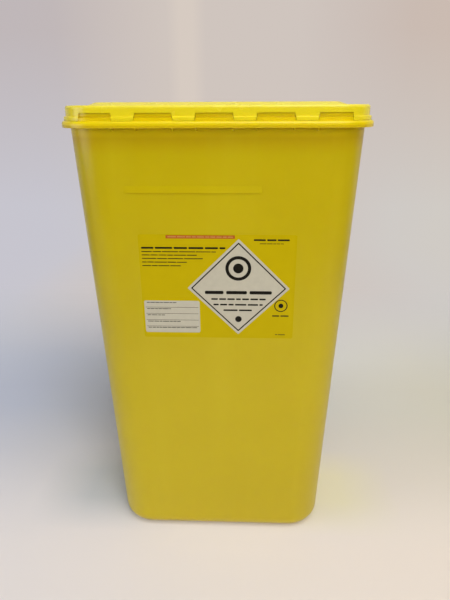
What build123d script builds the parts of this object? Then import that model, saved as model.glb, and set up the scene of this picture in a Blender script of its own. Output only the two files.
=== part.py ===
"""A clinical waste container: a tall tapered tub with a flanged rim and a push-fit lid.

Millimetres. The container stands on Z = 0 with its origin under the middle of the base, +Z is up and
its labelled front faces -Y.
"""

import os

from build123d import *

# Tub, wall and base
wall_top_length = 379.0
wall_top_width = 279.0
wall_top_radius = 46.0
base_length = 332.0
base_width = 232.0
flange_underside = 646.0
tub_wall = 2.4
floor_thickness = 3.2
base_radius = 53.0
base_round = 22.0
floor_round = 19.0
foot_ring_width = 12.0
foot_ring_height = 2.0

# Tub, flange with its down-turned lip, and the collar that stands inside the lid
flange_overhang = 10.5
flange_height = 8.4
flange_plate = 2.4
flange_round = 4.0
lip_wall = 2.4
lip_round = 0.8
collar_height = 12.7
collar_round = 0.8
collar_reach = 1.2
bead_reach = 1.9
bead_height = 2.0
bead_from_flange = 9.5

# Lid, skirt
skirt_reach = 4.8
skirt_wall = 2.0
skirt_step = 2.6
skirt_step_height = 5.0
step_chamfer = 0.8
skirt_height = 17.9
rim_round = 3.2

# Lid, top
lid_plate = 2.4
rim_band = 27.8
plateau_slope = 10.5
plateau_rise = 3.6
plateau_round = 1.6
panel_border = 16.0
panel_corner = 8.0
panel_depth = 0.8

# Lid, underside
plug_wall = 2.0
plug_end_above_flange = 2.0
rib_width = 1.8
rib_depth = 8.0
long_ribs = 2
cross_ribs = 3
catch_length = 14.0
catch_height = 2.0

# Windows in the skirt, each over a locating lug of the tub
windows_long_side = 5
windows_short_side = 3
window_pitch = 74.0
window_top_width = 44.5
window_bottom_width = 48.5
window_height = 9.0
window_limit = 166.0
lug_reach = 6.6
lug_face = 3.6
lug_slope_rise = 1.8
lug_pad_reach = 3.5
gusset_width = 1.5
gusset_drop = 3.5
gusset_spacing = 45.0
gusset_limit_long_side = 165.0
gusset_limit_short_side = 90.0

# Seal ring
seal_height = 2.6
seal_width = 3.8

# Fill-level ledge, moulded on the front wall
ledge_length = 177.0
ledge_height = 9.0
ledge_reach = 1.0
ledge_bottom = 567.2
ledge_centre = -29.0

# Self-adhesive label
label_length = 211.0
label_height = 151.5
label_corner = 3.0
label_film = 0.15
label_centre = 437.2
label_middle = 1.4

# Gate marks left by the moulding tool
gate_radius = 4.0
gate_height = 0.5

# Clearances
skirt_gap = 0.1
seat_gap = 0.3
side_gap = 0.3
plug_gap = 0.6

# Levels that follow from these sizes
flange_top = flange_underside + flange_height
collar_top = flange_top + collar_height
skirt_bottom = flange_top + skirt_gap
skirt_ledge = skirt_bottom + skirt_step_height
rim_top = skirt_bottom + skirt_height
rim_underside = rim_top - lid_plate
plateau_top = rim_top + plateau_rise
plateau_underside = plateau_top - lid_plate
plug_bottom = flange_top + plug_end_above_flange
bead_bottom = flange_top + bead_from_flange

# Reaches outwards (+) or inwards (-) from the outline of the tub's wall at the flange
skirt_inner = skirt_reach - skirt_wall
step_reach = skirt_reach + skirt_step
step_inner = step_reach - skirt_wall
collar_inner = collar_reach - tub_wall
plug_outer = collar_inner - plug_gap
plug_inner = plug_outer - plug_wall
plateau_foot = skirt_reach - rim_band
plateau_edge = plateau_foot - plateau_slope
plateau_length = wall_top_length + 2 * plateau_edge
plateau_width = wall_top_width + 2 * plateau_edge
seal_inner = plug_outer
seal_outer = seal_inner + seal_width

# Draft of the walls: how far each leans out for every millimetre of height
front_draft = (wall_top_width - base_width) / 2 / flange_underside
end_draft = (wall_top_length - base_length) / 2 / flange_underside


def front_wall(height):
    """How far the outside of the front wall stands from the middle at this height."""
    return base_width / 2 + front_draft * height


def level_face(part, height):
    """The level face of the part that lies nearest this height."""
    level = part.faces().filter_by(Axis.Z)
    return level.sort_by(lambda face: abs(face.center().Z - height))[0]


def rim_outline(reach):
    """The rounded rectangle of the tub's mouth, grown outwards or inwards all round."""
    RectangleRounded(
        wall_top_length + 2 * reach, wall_top_width + 2 * reach, wall_top_radius + reach
    )


def rim_slab(bottom, top, reach, mode=Mode.ADD):
    """A slab between two levels with the outline of the mouth at this reach."""
    with BuildSketch(Plane.XY.offset(bottom)) as outline:
        rim_outline(reach)
    extrude(outline.sketch, amount=top - bottom, mode=mode)


def rim_taper(bottom, bottom_reach, top, top_reach, mode=Mode.ADD):
    """A slab whose outline changes evenly from one reach to another."""
    with BuildSketch(Plane.XY.offset(bottom)) as lower:
        rim_outline(bottom_reach)
    with BuildSketch(Plane.XY.offset(top)) as upper:
        rim_outline(top_reach)
    loft([lower.sketch, upper.sketch], ruled=True, mode=mode)


# The upright plane that the windows of two facing sides are drawn on, their number, the way across
# and how far from the middle of the side a gusset may stand
window_sides = (
    (Plane.XZ, windows_long_side, wall_top_width, gusset_limit_long_side),
    (Plane.YZ, windows_short_side, wall_top_length, gusset_limit_short_side),
)


def window_places(count):
    """The middles of the windows along one side."""
    return [(i - (count - 1) / 2) * window_pitch for i in range(count)]


def across_windows(bottom, top, narrower):
    """Bars as wide as the windows, right across the tub; the end ones stop upright at the corners."""
    slant = (window_bottom_width - window_top_width) / 2 / window_height
    bottom_half = window_bottom_width / 2 - narrower
    top_half = bottom_half - slant * (top - bottom)
    limit = window_limit - narrower
    for side, count, across, _ in window_sides:
        for middle in window_places(count):
            corners = (
                (middle - bottom_half, bottom),
                (middle + bottom_half, bottom),
                (middle + top_half, top),
                (middle - top_half, top),
            )
            with BuildSketch(side) as bar:
                with BuildLine():
                    Polyline(*[(max(-limit, min(limit, x)), z) for x, z in corners], close=True)
                make_face()
            extrude(bar.sketch, amount=across, both=True)


# Blocks that the skirt's windows are cut with
window_top = skirt_bottom + window_height
with BuildPart() as window_bars:
    across_windows(skirt_bottom - skirt_gap, window_top, 0.0)

with BuildPart() as window_cutter:
    rim_slab(skirt_bottom - skirt_gap, window_top, 2 * step_reach)
    rim_slab(skirt_bottom - skirt_gap, window_top, (bead_reach + skirt_inner) / 2, Mode.SUBTRACT)
    add(window_bars.part, mode=Mode.INTERSECT)

# Locating lugs: a ledge on the flange, sloped on top, and a pad behind it that fills the window
lug_shoulder = flange_top + lug_face
lug_top = lug_shoulder + lug_slope_rise
lug_root = flange_top - flange_plate / 2
pad_top = window_top - seat_gap
with BuildPart() as lug_bars:
    across_windows(lug_root, pad_top, side_gap)

with BuildPart() as lugs:
    rim_slab(lug_root, lug_shoulder, lug_reach)
    rim_taper(lug_shoulder, lug_reach, lug_top, lug_pad_reach)
    rim_slab(lug_root, pad_top, lug_pad_reach)
    rim_slab(lug_root, pad_top, collar_reach - tub_wall / 2, Mode.SUBTRACT)
    add(lug_bars.part, mode=Mode.INTERSECT)

# Gussets: thin fins in the flange's channel, a pair to each lug, that run down onto the wall
channel_outer = flange_overhang - lip_wall
fin_outer = flange_overhang - lip_wall / 2
fin_top = flange_top - flange_plate / 2
fin_bottom = flange_underside - gusset_drop
with BuildPart() as fin_bars:
    for side, count, across, limit in window_sides:
        pairs = [(i - gusset_spacing / 2, i + gusset_spacing / 2) for i in window_places(count)]
        for place in [one for pair in pairs for one in pair if abs(one) < limit]:
            with BuildSketch(side):
                with Locations((place, (fin_bottom + fin_top) / 2)):
                    Rectangle(gusset_width, fin_top - fin_bottom)
            extrude(amount=across, both=True)

with BuildPart() as gussets:
    rim_taper(fin_bottom, 0.0, flange_underside + lip_round, fin_outer)
    rim_slab(flange_underside + lip_round, fin_top, fin_outer)
    rim_slab(fin_bottom, fin_top, -tub_wall / 2, Mode.SUBTRACT)
    add(fin_bars.part, mode=Mode.INTERSECT)

# The space inside the tub
cavity_floor = foot_ring_height + floor_thickness
with BuildPart() as cavity:
    with BuildSketch(Plane.XY.offset(cavity_floor)):
        RectangleRounded(
            base_length - 2 * tub_wall + 2 * end_draft * cavity_floor,
            base_width - 2 * tub_wall + 2 * front_draft * cavity_floor,
            base_radius - tub_wall,
        )
    with BuildSketch(Plane.XY.offset(flange_underside)):
        rim_outline(-tub_wall)
    loft(ruled=True)
    fillet(level_face(cavity, cavity_floor).edges(), radius=floor_round)
    rim_slab(flange_underside, flange_top, -tub_wall)
    rim_slab(flange_top, collar_top, collar_inner)

# Tub
with BuildPart() as tub:
    with BuildSketch(Plane.XY):
        RectangleRounded(base_length, base_width, base_radius)
    with BuildSketch(Plane.XY.offset(flange_underside)):
        rim_outline(0.0)
    loft(ruled=True)
    fillet(level_face(tub, 0.0).edges(), radius=base_round)

    # The ring that the tub stands on, round a raised floor, with the gate mark in its middle
    foot_inset = base_round + foot_ring_width
    with BuildSketch(Plane.XY):
        RectangleRounded(
            base_length - 2 * foot_inset, base_width - 2 * foot_inset, base_radius - foot_inset
        )
    extrude(amount=foot_ring_height, mode=Mode.SUBTRACT)
    with BuildSketch(Plane.XY.offset(foot_ring_height)):
        Circle(gate_radius)
    extrude(amount=-gate_height)

    # Flange and collar
    rim_slab(flange_underside, flange_top, flange_overhang)
    fillet(level_face(tub, flange_top).edges(), radius=flange_round)
    fillet(level_face(tub, flange_underside).outer_wire().edges(), radius=lip_round)
    rim_slab(flange_top, collar_top, collar_reach)
    fillet(level_face(tub, collar_top).edges(), radius=collar_round)
    rim_slab(bead_bottom, bead_bottom + bead_height, bead_reach)

    # The channel behind the down-turned lip, then what stands in it and on the flange
    rim_slab(flange_underside, flange_top - flange_plate, channel_outer, Mode.SUBTRACT)
    rim_slab(flange_underside, flange_top - flange_plate, 0.0)
    add(gussets.part)
    add(lugs.part)

    # Fill-level ledge: flush with the wall at its top and proud of it at its bottom
    with BuildSketch(Plane.YZ.offset(ledge_centre)):
        with BuildLine():
            Polyline(
                (-front_wall(ledge_bottom) + tub_wall / 2, ledge_bottom),
                (-front_wall(ledge_bottom) - ledge_reach, ledge_bottom),
                (-front_wall(ledge_bottom + ledge_height), ledge_bottom + ledge_height),
                (-front_wall(ledge_bottom + ledge_height) + tub_wall / 2, ledge_bottom + ledge_height),
                close=True,
            )
        make_face()
    extrude(amount=ledge_length / 2, both=True)

    add(cavity.part, mode=Mode.SUBTRACT)

tub.part.label = "tub"

# The space under the lid, between its skirt and its plate
with BuildPart() as lid_inside:
    rim_slab(skirt_bottom, rim_underside, skirt_inner)
    rim_slab(skirt_bottom, skirt_ledge - skirt_step, step_inner)
    rim_taper(rim_underside, plateau_foot, plateau_underside, plateau_edge)

# Plug ring that guides the lid into the collar
with BuildPart() as plug_ring:
    rim_slab(plug_bottom, rim_underside, plug_outer)
    rim_slab(plug_bottom, rim_underside, plug_inner, Mode.SUBTRACT)

# Stiffening ribs from the plug ring on one side to the plug ring on the other, deeper under the plateau
rib_bottom = plateau_underside - rib_depth
ring_length = wall_top_length + 2 * plug_inner + plug_wall
ring_width = wall_top_width + 2 * plug_inner + plug_wall
rib_levels = (
    (rib_bottom, rim_underside + lid_plate / 4, ring_length, ring_width),
    (rim_underside, plateau_underside + lid_plate / 4, plateau_length, plateau_width),
)
with BuildPart() as ribs:
    for bottom, top, length, width in rib_levels:
        with BuildSketch(Plane.XY.offset(bottom)):
            with GridLocations(0, plateau_width / (long_ribs + 1), 1, long_ribs):
                Rectangle(length, rib_width)
            with GridLocations(plateau_length / (cross_ribs + 1), 0, cross_ribs, 1):
                Rectangle(rib_width, width)
        extrude(amount=top - bottom)

# Catches: short bars inside the skirt, between the windows, that pass under the collar's bead
catch_top = bead_bottom - seat_gap
catch_bottom = catch_top - catch_height
catch_inner = bead_reach + seat_gap
catch_outer = skirt_inner + skirt_wall / 2
with BuildPart() as catch_bars:
    for side, count, across, _ in window_sides:
        for middle in window_places(count - 1):
            with BuildSketch(side):
                with Locations((middle, (catch_bottom + catch_top) / 2)):
                    Rectangle(catch_length, catch_height)
            extrude(amount=across, both=True)

with BuildPart() as catches:
    rim_slab(catch_bottom, catch_top, catch_outer)
    rim_slab(catch_bottom, catch_top, catch_inner, Mode.SUBTRACT)
    add(catch_bars.part, mode=Mode.INTERSECT)

# Lid
with BuildPart() as lid:
    rim_slab(skirt_bottom, rim_top, skirt_reach)
    fillet(level_face(lid, rim_top).edges(), radius=rim_round)
    rim_slab(skirt_bottom, skirt_ledge - step_chamfer, step_reach)
    rim_taper(skirt_ledge - step_chamfer, step_reach, skirt_ledge, step_reach - step_chamfer)

    # Raised plateau with a shallow panel in its top and the gate mark in the middle
    rim_taper(rim_top, plateau_foot, plateau_top, plateau_edge)
    fillet(level_face(lid, plateau_top).edges(), radius=plateau_round)
    with BuildSketch(Plane.XY.offset(plateau_top - panel_depth)):
        RectangleRounded(
            plateau_length - 2 * panel_border, plateau_width - 2 * panel_border, panel_corner
        )
    extrude(amount=panel_depth, mode=Mode.SUBTRACT)
    with BuildSketch(Plane.XY.offset(plateau_top - panel_depth)):
        Circle(gate_radius)
    extrude(amount=gate_height)

    add(lid_inside.part, mode=Mode.SUBTRACT)
    add(window_cutter.part, mode=Mode.SUBTRACT)
    add(catches.part)
    add(plug_ring.part)
    add(ribs.part)

lid.part.label = "lid"

# Seal ring, seated against the lid's underside and the plug ring
with BuildPart() as lid_seal:
    rim_slab(rim_underside - seal_height, rim_underside, seal_outer)
    rim_slab(rim_underside - seal_height, rim_underside, seal_inner, Mode.SUBTRACT)

lid_seal.part.label = "lid_seal"

# Label: one film on the front wall, square to its draft
label_plane = Plane(
    origin=(label_middle, -front_wall(label_centre), label_centre),
    x_dir=(1, 0, 0),
    z_dir=(0, -1, -front_draft),
)
with BuildPart() as front_label:
    with BuildSketch(label_plane):
        RectangleRounded(label_length, label_height, label_corner)
    extrude(amount=label_film)

front_label.part.label = "front_label"

os.makedirs("parts", exist_ok=True)
export_step(tub.part, "parts/tub.step")
export_step(lid.part, "parts/lid.step")
export_step(lid_seal.part, "parts/lid_seal.step")
export_step(front_label.part, "parts/front_label.step")
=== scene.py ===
import math
import random

import bmesh
import bpy
from mathutils import Matrix, Quaternion, Vector


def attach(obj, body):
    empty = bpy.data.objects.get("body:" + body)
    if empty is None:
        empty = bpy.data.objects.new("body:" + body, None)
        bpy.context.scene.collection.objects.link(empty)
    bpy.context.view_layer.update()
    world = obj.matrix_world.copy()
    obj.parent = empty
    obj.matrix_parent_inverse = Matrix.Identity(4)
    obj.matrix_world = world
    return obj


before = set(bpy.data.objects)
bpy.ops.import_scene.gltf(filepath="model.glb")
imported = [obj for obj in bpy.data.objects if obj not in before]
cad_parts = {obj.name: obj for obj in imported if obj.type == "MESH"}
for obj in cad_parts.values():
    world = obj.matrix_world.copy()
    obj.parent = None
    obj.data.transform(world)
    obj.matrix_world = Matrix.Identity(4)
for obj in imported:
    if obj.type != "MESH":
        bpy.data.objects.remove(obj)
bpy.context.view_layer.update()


# CAMERA
# It stands in front of the labelled side at the height of the lid, looks down by about 20 degrees, and
# is turned slightly to the left of square.
camera_data = bpy.data.cameras.new("camera")
camera = bpy.data.objects.new("camera", camera_data)
bpy.context.scene.collection.objects.link(camera)
bpy.context.scene.camera = camera
camera_data.sensor_width = 36.0
camera_data.lens = 30.58
camera.location = (0.0382, -0.7910, 0.6695)
look_down = math.radians(20.716)
look_left = math.radians(2.327)
roll = math.radians(-0.248)
look = Vector((
    -math.sin(look_left) * math.cos(look_down),
    math.cos(look_left) * math.cos(look_down),
    -math.sin(look_down),
))
camera.rotation_mode = "QUATERNION"
camera.rotation_quaternion = look.to_track_quat("-Z", "Y") @ Quaternion((0, 0, 1), roll)


# TUB
# One tall injection-moulded polypropylene bucket, drafted so that empty tubs nest. The moulding tool
# leaves a soft gloss with a faint orange peel, slow waves in the wide walls and thin flow marks.
def new_material(name):
    """A material with one principled shader, its nodes, the shader and the object's own coordinates."""
    material = bpy.data.materials.new(name)
    material.use_nodes = True
    tree = material.node_tree
    tree.nodes.clear()
    shader = tree.nodes.new("ShaderNodeBsdfPrincipled")
    output = tree.nodes.new("ShaderNodeOutputMaterial")
    tree.links.new(shader.outputs["BSDF"], output.inputs["Surface"])
    place = tree.nodes.new("ShaderNodeTexCoord")
    return material, tree, shader, place.outputs["Object"]


def noise(tree, place, scale, detail=2.0, roughness=0.5, stretch=(1.0, 1.0, 1.0)):
    """Noise with about this many lumps to the metre, drawn out along an axis that has a small stretch."""
    mapping = tree.nodes.new("ShaderNodeMapping")
    mapping.inputs["Scale"].default_value = stretch
    tree.links.new(place, mapping.inputs["Vector"])
    texture = tree.nodes.new("ShaderNodeTexNoise")
    texture.inputs["Scale"].default_value = scale
    texture.inputs["Detail"].default_value = detail
    texture.inputs["Roughness"].default_value = roughness
    tree.links.new(mapping.outputs["Vector"], texture.inputs["Vector"])
    return texture.outputs["Fac"]


def ramp(tree, value, low, high, from_value=0.0, to_value=1.0):
    """A value stretched from between low and high to between two others, and held there."""
    node = tree.nodes.new("ShaderNodeMapRange")
    node.inputs["From Min"].default_value = low
    node.inputs["From Max"].default_value = high
    node.inputs["To Min"].default_value = from_value
    node.inputs["To Max"].default_value = to_value
    tree.links.new(value, node.inputs["Value"])
    return node.outputs["Result"]


def blend(tree, share, first, second):
    """Two colours mixed by a share; either may be a colour or another node's output."""
    node = tree.nodes.new("ShaderNodeMix")
    node.data_type = "RGBA"
    tree.links.new(share, node.inputs["Factor"])
    for socket, colour in ((node.inputs["A"], first), (node.inputs["B"], second)):
        if isinstance(colour, bpy.types.NodeSocket):
            tree.links.new(colour, socket)
        else:
            socket.default_value = (*colour, 1.0)
    return node.outputs["Result"]


def product(tree, first, second):
    """Two values multiplied."""
    node = tree.nodes.new("ShaderNodeMath")
    node.operation = "MULTIPLY"
    tree.links.new(first, node.inputs[0])
    tree.links.new(second, node.inputs[1])
    return node.outputs["Value"]


def relief(tree, height, depth, below=None):
    """A bump of this depth in metres, laid over another bump."""
    node = tree.nodes.new("ShaderNodeBump")
    node.inputs["Distance"].default_value = depth
    tree.links.new(height, node.inputs["Height"])
    if below is not None:
        tree.links.new(below, node.inputs["Normal"])
    return node.outputs["Normal"]


def tones_by_height(tree, place, tone, steps):
    """A tone that changes to each step's colour between the step's two heights."""
    split = tree.nodes.new("ShaderNodeSeparateXYZ")
    tree.links.new(place, split.inputs["Vector"])
    for low, high, colour in steps:
        tone = blend(tree, ramp(tree, split.outputs["Z"], low, high), tone, colour)
    return tone


def moulded_plastic(name, colour, deeper, paler, steps, roughness, wave_depth, peel_depth, along):
    """Moulded polypropylene: clouded colour, flow marks, fine scratches and an orange-peel gloss.

    The marks run along the axis that has the small stretch. The steps are tones that begin at a height,
    and the depths of the slow waves and of the peel are in metres.
    """
    material, tree, shader, place = new_material(name)
    clouds = ramp(tree, noise(tree, place, 5.0, 3.0), 0.35, 0.65)
    flow = ramp(tree, noise(tree, place, 26.0, 2.0, 0.5, along), 0.52, 0.78, 0.0, 0.3)
    scratches = ramp(tree, noise(tree, place, 420.0, 2.0, 0.6, along), 0.70, 0.76, 0.0, 0.5)
    patches = ramp(tree, noise(tree, place, 9.0, 2.0), 0.50, 0.62)
    marks = product(tree, scratches, patches)
    tone = tones_by_height(tree, place, blend(tree, clouds, colour, deeper), steps)
    tone = blend(tree, flow, tone, paler)
    tone = blend(tree, marks, tone, paler)
    tree.links.new(tone, shader.inputs["Base Color"])
    smears = noise(tree, place, 14.0, 4.0, 0.6)
    gloss = ramp(tree, smears, 0.3, 0.7, roughness - 0.04, roughness + 0.04)
    tree.links.new(gloss, shader.inputs["Roughness"])
    shader.inputs["IOR"].default_value = 1.49
    shader.inputs["Specular IOR Level"].default_value = 0.42
    shader.inputs["Subsurface Weight"].default_value = 0.3
    shader.inputs["Subsurface Radius"].default_value = (0.008, 0.006, 0.0006)
    shader.inputs["Subsurface Scale"].default_value = 1.0
    waves = relief(tree, noise(tree, place, 7.0, 1.0), wave_depth)
    peel = relief(tree, noise(tree, place, 700.0, 2.0), peel_depth, waves)
    scored = relief(tree, marks, peel_depth, peel)
    tree.links.new(scored, shader.inputs["Normal"])
    return material


def finish_solid(name, material):
    """Gives one of the CAD's solids its material."""
    for slot in bpy.data.objects[name].material_slots:
        slot.material = material


tub_yellow = (0.588, 0.450, 0.0010)
tub_deeper = (0.557, 0.423, 0.0008)
tub_paler = (0.634, 0.502, 0.010)
shaded_wall = (0.560, 0.384, 0.0005)
shaded_lip = (0.670, 0.470, 0.0008)
painted_rim_light = (0.810, 0.605, 0.0010)
painted_pad_light = (0.760, 0.561, 0.0009)
# Painted shade and light near the rim, from the wall below the flange upwards: painted shade on the wall,
# painted light at the flange's root with its gussets, painted shade on the lower and painted light on the
# upper half of the turned-down lip, painted shade at the foot of the lugs, and a lighter painted tone on
# the lugs' pads in the lid's windows.
painted_rim_steps = (
    (0.6140, 0.6320, shaded_wall),
    (0.6340, 0.6450, painted_rim_light),
    (0.6452, 0.6460, shaded_lip),
    (0.6488, 0.6496, painted_rim_light),
    (0.6576, 0.6580, shaded_wall),
    (0.6598, 0.6602, painted_pad_light),
)
down_the_walls = (1.0, 1.0, 0.05)
tub_plastic = moulded_plastic(
    "tub_plastic", tub_yellow, tub_deeper, tub_paler, painted_rim_steps,
    roughness=0.32, wave_depth=0.0020, peel_depth=0.00002, along=down_the_walls
)
finish_solid("tub", tub_plastic)


# LABEL FILM
# A printed sheet of satin self-adhesive vinyl, stuck by hand a little to the right of the middle.
def film_surface(tree, place):
    """The film's own fine grain, over the slow lifts where air stayed under it."""
    bubbles = relief(tree, noise(tree, place, 55.0, 1.0), 0.00012)
    return relief(tree, noise(tree, place, 900.0, 1.0), 0.00001, bubbles)


film_yellow = (0.562, 0.421, 0.0003)
film_deeper = (0.542, 0.404, 0.0002)
film_specks = (0.62, 0.49, 0.003)
label_film, tree, shader, place = new_material("label_film")
tint = ramp(tree, noise(tree, place, 30.0, 3.0), 0.35, 0.65)
tone = blend(tree, tint, film_yellow, film_deeper)
grain = ramp(tree, noise(tree, place, 1600.0, 1.0), 0.3, 0.7, 0.0, 0.06)
tree.links.new(blend(tree, grain, tone, film_specks), shader.inputs["Base Color"])
gloss = ramp(tree, noise(tree, place, 45.0, 2.0), 0.3, 0.7, 0.40, 0.50)
tree.links.new(gloss, shader.inputs["Roughness"])
shader.inputs["Specular IOR Level"].default_value = 0.1
tree.links.new(film_surface(tree, place), shader.inputs["Normal"])
finish_solid("front_label", label_film)


# LABEL PRINT
# Thin layers of ink on the film: a white square on its point with a dark keyline, a plain ring and disc,
# a write-on panel, a coloured bar, and rounded dashes where the rows of small print stand.
millimetre = 0.001
wall_top_width = 0.2790
base_width = 0.2320
flange_underside = 0.6460
film_across = 0.0014
film_up = 0.4372
film_thickness = 0.00015
ink_depth = 0.00003
ink_sunk = 0.3
film_draft = (wall_top_width - base_width) / 2 / flange_underside
label_right = Vector((1.0, 0.0, 0.0))
label_up = Vector((0.0, -film_draft, 1.0)).normalized()
label_out = label_right.cross(label_up)
wall_middle = Vector((film_across, -base_width / 2 - film_draft * film_up, film_up))
label_middle = wall_middle + label_out * film_thickness
label_turn = Matrix((label_right, label_up, label_out)).transposed().to_4x4()
label_frame = Matrix.Translation(label_middle) @ label_turn


def ink(name, colour, worn, roughness):
    """Printing ink, slightly uneven in tone and with the film's own relief."""
    material, tree, shader, place = new_material(name)
    tone = ramp(tree, noise(tree, place, 120.0, 3.0, 0.6), 0.35, 0.75)
    tree.links.new(blend(tree, tone, colour, worn), shader.inputs["Base Color"])
    gloss = ramp(tree, noise(tree, place, 60.0, 2.0), 0.3, 0.7, roughness - 0.05, roughness + 0.05)
    tree.links.new(gloss, shader.inputs["Roughness"])
    shader.inputs["Specular IOR Level"].default_value = 0.2
    tree.links.new(film_surface(tree, place), shader.inputs["Normal"])
    return material


white_ink = ink("white_ink", (0.563, 0.522, 0.402), (0.529, 0.488, 0.378), 0.45)
black_ink = ink("black_ink", (0.005, 0.004, 0.002), (0.010, 0.008, 0.004), 0.42)
pale_ink = ink("pale_ink", (0.62, 0.34, 0.10), (0.56, 0.29, 0.08), 0.45)
red_ink = ink("red_ink", (0.47, 0.105, 0.014), (0.43, 0.092, 0.012), 0.42)


def start_print(name):
    """An empty mesh in edit mode, to print one layer into."""
    bpy.ops.object.select_all(action="DESELECT")
    bpy.ops.mesh.primitive_plane_add(size=0.01)
    bpy.context.object.name = name
    bpy.ops.object.mode_set(mode="EDIT")
    bpy.ops.mesh.select_all(action="SELECT")
    bpy.ops.mesh.delete(type="VERT")


def printed_rectangle(across, up, width, height, corner, turn=0.0):
    """A flat face, in millimetres from the label's middle, with rounded corners; it stays selected."""
    middle = (across * millimetre, up * millimetre, 0.0)
    bpy.ops.mesh.select_all(action="DESELECT")
    bpy.ops.mesh.primitive_plane_add(size=millimetre, location=middle)
    bpy.ops.transform.resize(value=(width, height, 1.0), center_override=middle)
    if turn:
        bpy.ops.transform.rotate(value=turn, orient_axis="Z", center_override=middle)
    bpy.ops.mesh.bevel(offset=corner * millimetre, segments=4, affect="VERTICES")


def printed_disc(across, up, radius):
    """A flat round face, in millimetres from the label's middle; it stays selected."""
    middle = (across * millimetre, up * millimetre, 0.0)
    bpy.ops.mesh.select_all(action="DESELECT")
    bpy.ops.mesh.primitive_circle_add(
        vertices=64, radius=radius * millimetre, fill_type="NGON", location=middle
    )


def cut_out(line_width):
    """Leaves only a line of this width inside the edge of the selected face."""
    bpy.ops.mesh.inset(thickness=line_width * millimetre, depth=0.0)
    bpy.ops.mesh.delete(type="FACE")


def finish_print(material, layer=0):
    """Gives the faces the depth of the ink, lays them on the film or a lower layer, and fixes them."""
    bpy.ops.mesh.select_all(action="SELECT")
    bpy.ops.mesh.extrude_region_move(TRANSFORM_OT_translate={"value": (0.0, 0.0, ink_depth)})
    bpy.ops.mesh.select_all(action="SELECT")
    bpy.ops.mesh.normals_make_consistent(inside=False)
    bpy.ops.object.mode_set(mode="OBJECT")
    printed = bpy.context.object
    printed.data.transform(Matrix.Translation((0.0, 0.0, (layer - ink_sunk) * ink_depth)))
    printed.data.transform(label_frame)
    printed.data.materials.append(material)
    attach(printed, "tub_body")


def printed_row(left, right, up, height, longest):
    """Rounded dashes of uneven length from left to right, as long as words, all at one height."""
    gap = height * 0.75
    start = left
    while start < right:
        end = min(start + longest * random.uniform(0.35, 1.0), right)
        if right - end < longest * 0.3:
            end = right
        corner = min(height, end - start) * 0.35
        printed_rectangle((start + end) / 2, up, end - start, height, corner)
        start = end + gap


random.seed(11)
eighth_turn = math.radians(45)
diamond_across = 28.5
heading_left = -101.9
panel_across = -64.2
panel_row_left = -99.3

start_print("diamond_panel")
printed_rectangle(diamond_across, 0.0, 99.0, 99.0, 1.0, eighth_turn)
finish_print(white_ink)

start_print("diamond_keyline")
printed_rectangle(diamond_across, 0.0, 92.3, 92.3, 0.8, eighth_turn)
cut_out(1.7)
finish_print(black_ink, layer=1)

start_print("diamond_motif")
printed_disc(28.2, 28.9, 17.5)
cut_out(4.5)
printed_disc(28.2, 28.9, 7.0)
finish_print(black_ink, layer=1)

start_print("diamond_rows")
printed_row(-17.7, 74.3, -6.2, 4.8, 40.0)
printed_row(-9.0, 66.2, -16.0, 2.4, 14.0)
printed_row(-6.1, 62.3, -24.3, 2.4, 18.0)
printed_row(7.8, 47.4, -32.7, 2.4, 20.0)
printed_disc(28.7, -46.2, 4.6)
finish_print(black_ink, layer=1)

start_print("top_bar")
printed_rectangle(-22.4, 72.5, 91.8, 4.6, 0.4)
finish_print(red_ink)

start_print("top_bar_row")
printed_row(-65.8, 21.2, 72.5, 1.2, 15.0)
finish_print(pale_ink, layer=1)

start_print("heading_rows")
printed_row(heading_left, 10.9, 57.2, 2.6, 26.0)
printed_row(heading_left, -1.8, 51.9, 1.2, 22.0)
printed_row(heading_left, -27.3, 47.2, 1.2, 20.0)
printed_row(heading_left, -19.4, 42.3, 1.2, 22.0)
printed_row(heading_left, -41.1, 37.2, 1.2, 18.0)
printed_row(heading_left, -49.4, 32.1, 1.2, 20.0)
finish_print(black_ink)

start_print("corner_rows")
printed_row(48.5, 95.7, 68.6, 2.3, 30.0)
printed_row(56.4, 88.0, 63.6, 0.9, 9.0)
printed_row(80.6, 94.7, -69.9, 1.1, 9.0)
finish_print(black_ink)

start_print("write_on_panel")
printed_rectangle(panel_across, -43.6, 77.8, 48.8, 2.6)
finish_print(white_ink)

start_print("write_on_rules")
for rule_up in (-29.2, -38.8, -48.6, -58.4):
    printed_rectangle(panel_across, rule_up, 74.0, 0.5, 0.1)
panel_rows = ((-22.1, -57.8), (-31.5, -65.8), (-41.1, -74.8), (-50.9, -52.8), (-60.5, -29.8))
for row_up, row_right in panel_rows:
    printed_row(panel_row_left, row_right, row_up, 1.0, 9.0)
finish_print(black_ink, layer=1)

start_print("side_ring")
printed_disc(87.4, -25.4, 9.2)
cut_out(1.4)
printed_disc(87.4, -25.4, 3.4)
printed_row(75.7, 98.7, -40.8, 1.9, 14.0)
finish_print(black_ink)


# LID SEAL
# A soft elastomer ring, pushed up into the lid round its plug and squeezed by the collar.
rubber_grey = (0.25, 0.25, 0.24)
dusty_grey = (0.32, 0.31, 0.29)
seal_rubber, tree, shader, place = new_material("seal_rubber")
dust = ramp(tree, noise(tree, place, 60.0, 3.0), 0.4, 0.7)
tree.links.new(blend(tree, dust, rubber_grey, dusty_grey), shader.inputs["Base Color"])
gloss = ramp(tree, noise(tree, place, 200.0, 2.0), 0.3, 0.7, 0.62, 0.8)
tree.links.new(gloss, shader.inputs["Roughness"])
tree.links.new(relief(tree, noise(tree, place, 1500.0, 2.0), 0.00002), shader.inputs["Normal"])
finish_solid("lid_seal", seal_rubber)
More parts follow.
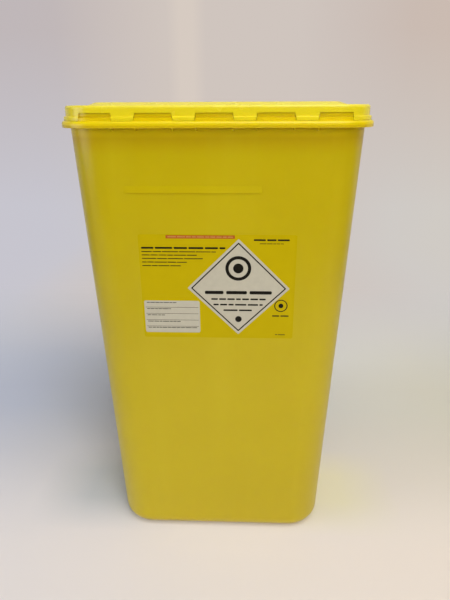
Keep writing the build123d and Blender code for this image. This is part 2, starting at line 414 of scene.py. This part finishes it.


# LID
# A separate moulding of the same plastic from another batch, brighter than the tub, pressed onto the
# rim. Its rounded top edges and raised top carry a painted highlight, a paler tone above a height.
lid_yellow = (0.898, 0.705, 0.0170)
lid_deeper = (0.875, 0.688, 0.0140)
lid_paler = (0.910, 0.755, 0.045)
# Painted highlight: a paler tone on the lid's top edges and raised top.
painted_top_highlight = (0.920, 0.740, 0.062)
along_the_lid = (0.05, 1.0, 1.0)
lid_plastic = moulded_plastic(
    "lid_plastic", lid_yellow, lid_deeper, lid_paler, ((0.6680, 0.6715, painted_top_highlight),),
    roughness=0.26, wave_depth=0.0005, peel_depth=0.000005, along=along_the_lid
)
finish_solid("lid", lid_plastic)


# FLOOR AND BACKDROP
# A pale paper sheet that the box stands on, swept up behind it into a wall. Painted light and shade tint
# the sheet, and the wall glows with a painted brighter middle and a pale streak. In front and at the
# sides, outside the picture, the sheet ends on a darker floor.
def band(tree, value, low, high, soft):
    """A share that is 1 from low to high and fades out over a soft distance on both sides."""
    rising = ramp(tree, value, low - soft, low)
    falling = ramp(tree, value, high + soft, high)
    return product(tree, rising, falling)


def select_edges(chosen):
    """Selects the sweep's edges whose ends are both at a chosen place."""
    sheet = bmesh.from_edit_mesh(sweep.data)
    for edge in sheet.edges:
        edge.select_set(all(chosen(end.co) for end in edge.verts))
    bmesh.update_edit_mesh(sweep.data)


floor_width = 8.0
floor_depth = 6.0
floor_middle = -1.2
wall_height = 4.0
sweep_radius = 1.2
bpy.ops.object.select_all(action="DESELECT")
bpy.ops.mesh.primitive_plane_add(size=1.0, location=(0.0, 0.0, 0.0))
sweep = bpy.context.object
sweep.name = "backdrop"
bpy.ops.object.mode_set(mode="EDIT")
bpy.ops.transform.resize(value=(floor_width, floor_depth, 1.0))
bpy.ops.transform.translate(value=(0.0, floor_middle, 0.0))
select_edges(lambda end: end.y > 1.0)
bpy.ops.mesh.extrude_region_move(TRANSFORM_OT_translate={"value": (0.0, 0.0, wall_height)})
select_edges(lambda end: end.y > 1.0 and end.z < 0.1)
bpy.ops.mesh.bevel(offset=sweep_radius, segments=24, profile=0.5, affect="EDGES")
bpy.ops.object.mode_set(mode="OBJECT")
bpy.ops.object.transform_apply(location=True, rotation=True, scale=True)
bpy.ops.object.shade_smooth()
paper, tree, shader, place = new_material("paper")
spot = tree.nodes.new("ShaderNodeSeparateXYZ")
tree.links.new(place, spot.inputs["Vector"])
x, y, z = (spot.outputs[axis] for axis in "XYZ")
# Painted light and shade on the paper: cooler at the left and warmer at the right, with painted shade in
# a darker band beside and behind the box, paler again farther back.
across = ramp(tree, x, -1.0, 1.0)
near_across = ramp(tree, x, -0.5, 0.5)
near_paper = blend(tree, near_across, (0.79, 0.745, 0.745), (0.87, 0.76, 0.65))
mid_paper = blend(tree, near_across, (0.59, 0.62, 0.73), (0.78, 0.74, 0.62))
far_paper = blend(tree, across, (0.84, 0.86, 0.94), (0.88, 0.87, 0.84))
paper_tone = blend(tree, ramp(tree, y, -0.16, 0.25), near_paper, mid_paper)
paper_tone = blend(tree, ramp(tree, y, 0.35, 1.1), paper_tone, far_paper)
# Painted shadow on the paper beside the box's left side, and a painted yellow bounce of light beside its
# right.
painted_box_shadow = (0.57, 0.58, 0.60)
painted_yellow_bounce = (0.83, 0.77, 0.56)
for left, right, tint in ((-0.24, -0.16, painted_box_shadow), (0.16, 0.22, painted_yellow_bounce)):
    beside_box = product(tree, band(tree, x, left, right, 0.10), band(tree, y, -0.05, 0.02, 0.08))
    paper_tone = blend(tree, beside_box, paper_tone, tint)
room_floor = (0.20, 0.19, 0.18)
paper_tone = blend(tree, ramp(tree, y, -1.3, -0.8), room_floor, paper_tone)
for sheet_edge, off_sheet in ((-1.2, -1.5), (1.2, 1.5)):
    paper_tone = blend(tree, ramp(tree, x, sheet_edge, off_sheet), paper_tone, room_floor)
tree.links.new(paper_tone, shader.inputs["Base Color"])
shader.inputs["Roughness"].default_value = 0.9
shader.inputs["Specular IOR Level"].default_value = 0.2

# Seen by the camera or in a reflection, the wall behind the box glows with these tones as they are
# written:
# painted light, cooler at the left and warmer at the right, with a brighter middle and a pale streak.
glow = tree.nodes.new("ShaderNodeEmission")
low_glow = blend(tree, across, (0.57, 0.56, 0.62), (0.63, 0.595, 0.555))
high_glow = blend(tree, across, (0.525, 0.475, 0.485), (0.60, 0.50, 0.44))
painted_middle_glow = (0.625, 0.556, 0.515)
pale_streak = (0.675, 0.595, 0.535)
wall_tone = blend(tree, ramp(tree, z, 0.2, 1.0), low_glow, high_glow)
wall_tone = blend(tree, band(tree, x, -0.34, 0.28, 0.5), wall_tone, painted_middle_glow)
wall_tone = blend(tree, band(tree, x, -0.27, -0.21, 0.06), wall_tone, pale_streak)
tree.links.new(wall_tone, glow.inputs["Color"])
seen = tree.nodes.new("ShaderNodeLightPath")
seen_by = tree.nodes.new("ShaderNodeMath")
seen_by.operation = "MAXIMUM"
tree.links.new(seen.outputs["Is Camera Ray"], seen_by.inputs[0])
tree.links.new(seen.outputs["Is Glossy Ray"], seen_by.inputs[1])
wall_share = product(tree, seen_by.outputs["Value"], ramp(tree, y, 0.5, 1.1))
wall = tree.nodes.new("ShaderNodeMixShader")
tree.links.new(wall_share, wall.inputs[0])
tree.links.new(shader.outputs["BSDF"], wall.inputs[1])
tree.links.new(glow.outputs["Emission"], wall.inputs[2])
tree.links.new(wall.outputs["Shader"], tree.nodes["Material Output"].inputs["Surface"])
sweep.data.materials.append(paper)


# LIGHT
# Three square soft boxes: one high up in front, a wider one lower and farther off, and a cooler one at
# the left. The room round them is pale, but dark in front of the box and dimmer at its right.
def soft_box(name, place, aim, size, power, colour=(1.0, 1.0, 1.0)):
    """A square area lamp that faces a point, and its object."""
    data = bpy.data.lights.new(name, "AREA")
    data.shape = "SQUARE"
    data.size = size
    data.energy = power
    data.color = colour
    lamp = bpy.data.objects.new(name, data)
    lamp.location = place
    direction = Vector(aim) - Vector(place)
    lamp.rotation_euler = direction.to_track_quat("-Z", "Y").to_euler()
    bpy.context.scene.collection.objects.link(lamp)
    return lamp


soft_box("overhead", (0.6, -1.0, 2.4), (0.0, 0.0, 0.5), 1.7, 34.0)
front_window = soft_box("front_window", (0.9, -2.9, 1.7), (0.0, 0.0, 0.4), 2.0, 48.0)
front_window.visible_glossy = False
soft_box("left_window", (-2.4, -0.9, 1.0), (0.0, 0.0, 0.35), 1.5, 21.0, (0.90, 0.94, 1.0))
surroundings = bpy.data.worlds.new("surroundings")
bpy.context.scene.world = surroundings
surroundings.use_nodes = True
tree = surroundings.node_tree
sky = tree.nodes["Background"]
direction = tree.nodes.new("ShaderNodeTexCoord")
split = tree.nodes.new("ShaderNodeSeparateXYZ")
tree.links.new(direction.outputs["Generated"], split.inputs["Vector"])
upwards_weight = 1.3
pale_room = (0.96, 0.98, 1.04)
dim_right = (0.62, 0.62, 0.63)
dark_front = (0.10, 0.10, 0.11)
up_or_back = tree.nodes.new("ShaderNodeMath")
up_or_back.operation = "MULTIPLY_ADD"
tree.links.new(split.outputs["Z"], up_or_back.inputs[0])
up_or_back.inputs[1].default_value = upwards_weight
tree.links.new(split.outputs["Y"], up_or_back.inputs[2])
away = ramp(tree, up_or_back.outputs["Value"], -0.95, 0.1)
sideways = ramp(tree, split.outputs["X"], 0.0, 0.8)
room = blend(tree, sideways, pale_room, dim_right)
tree.links.new(blend(tree, away, dark_front, room), sky.inputs["Color"])
sky.inputs["Strength"].default_value = 0.88

bpy.context.scene.view_settings.view_transform = "Standard"
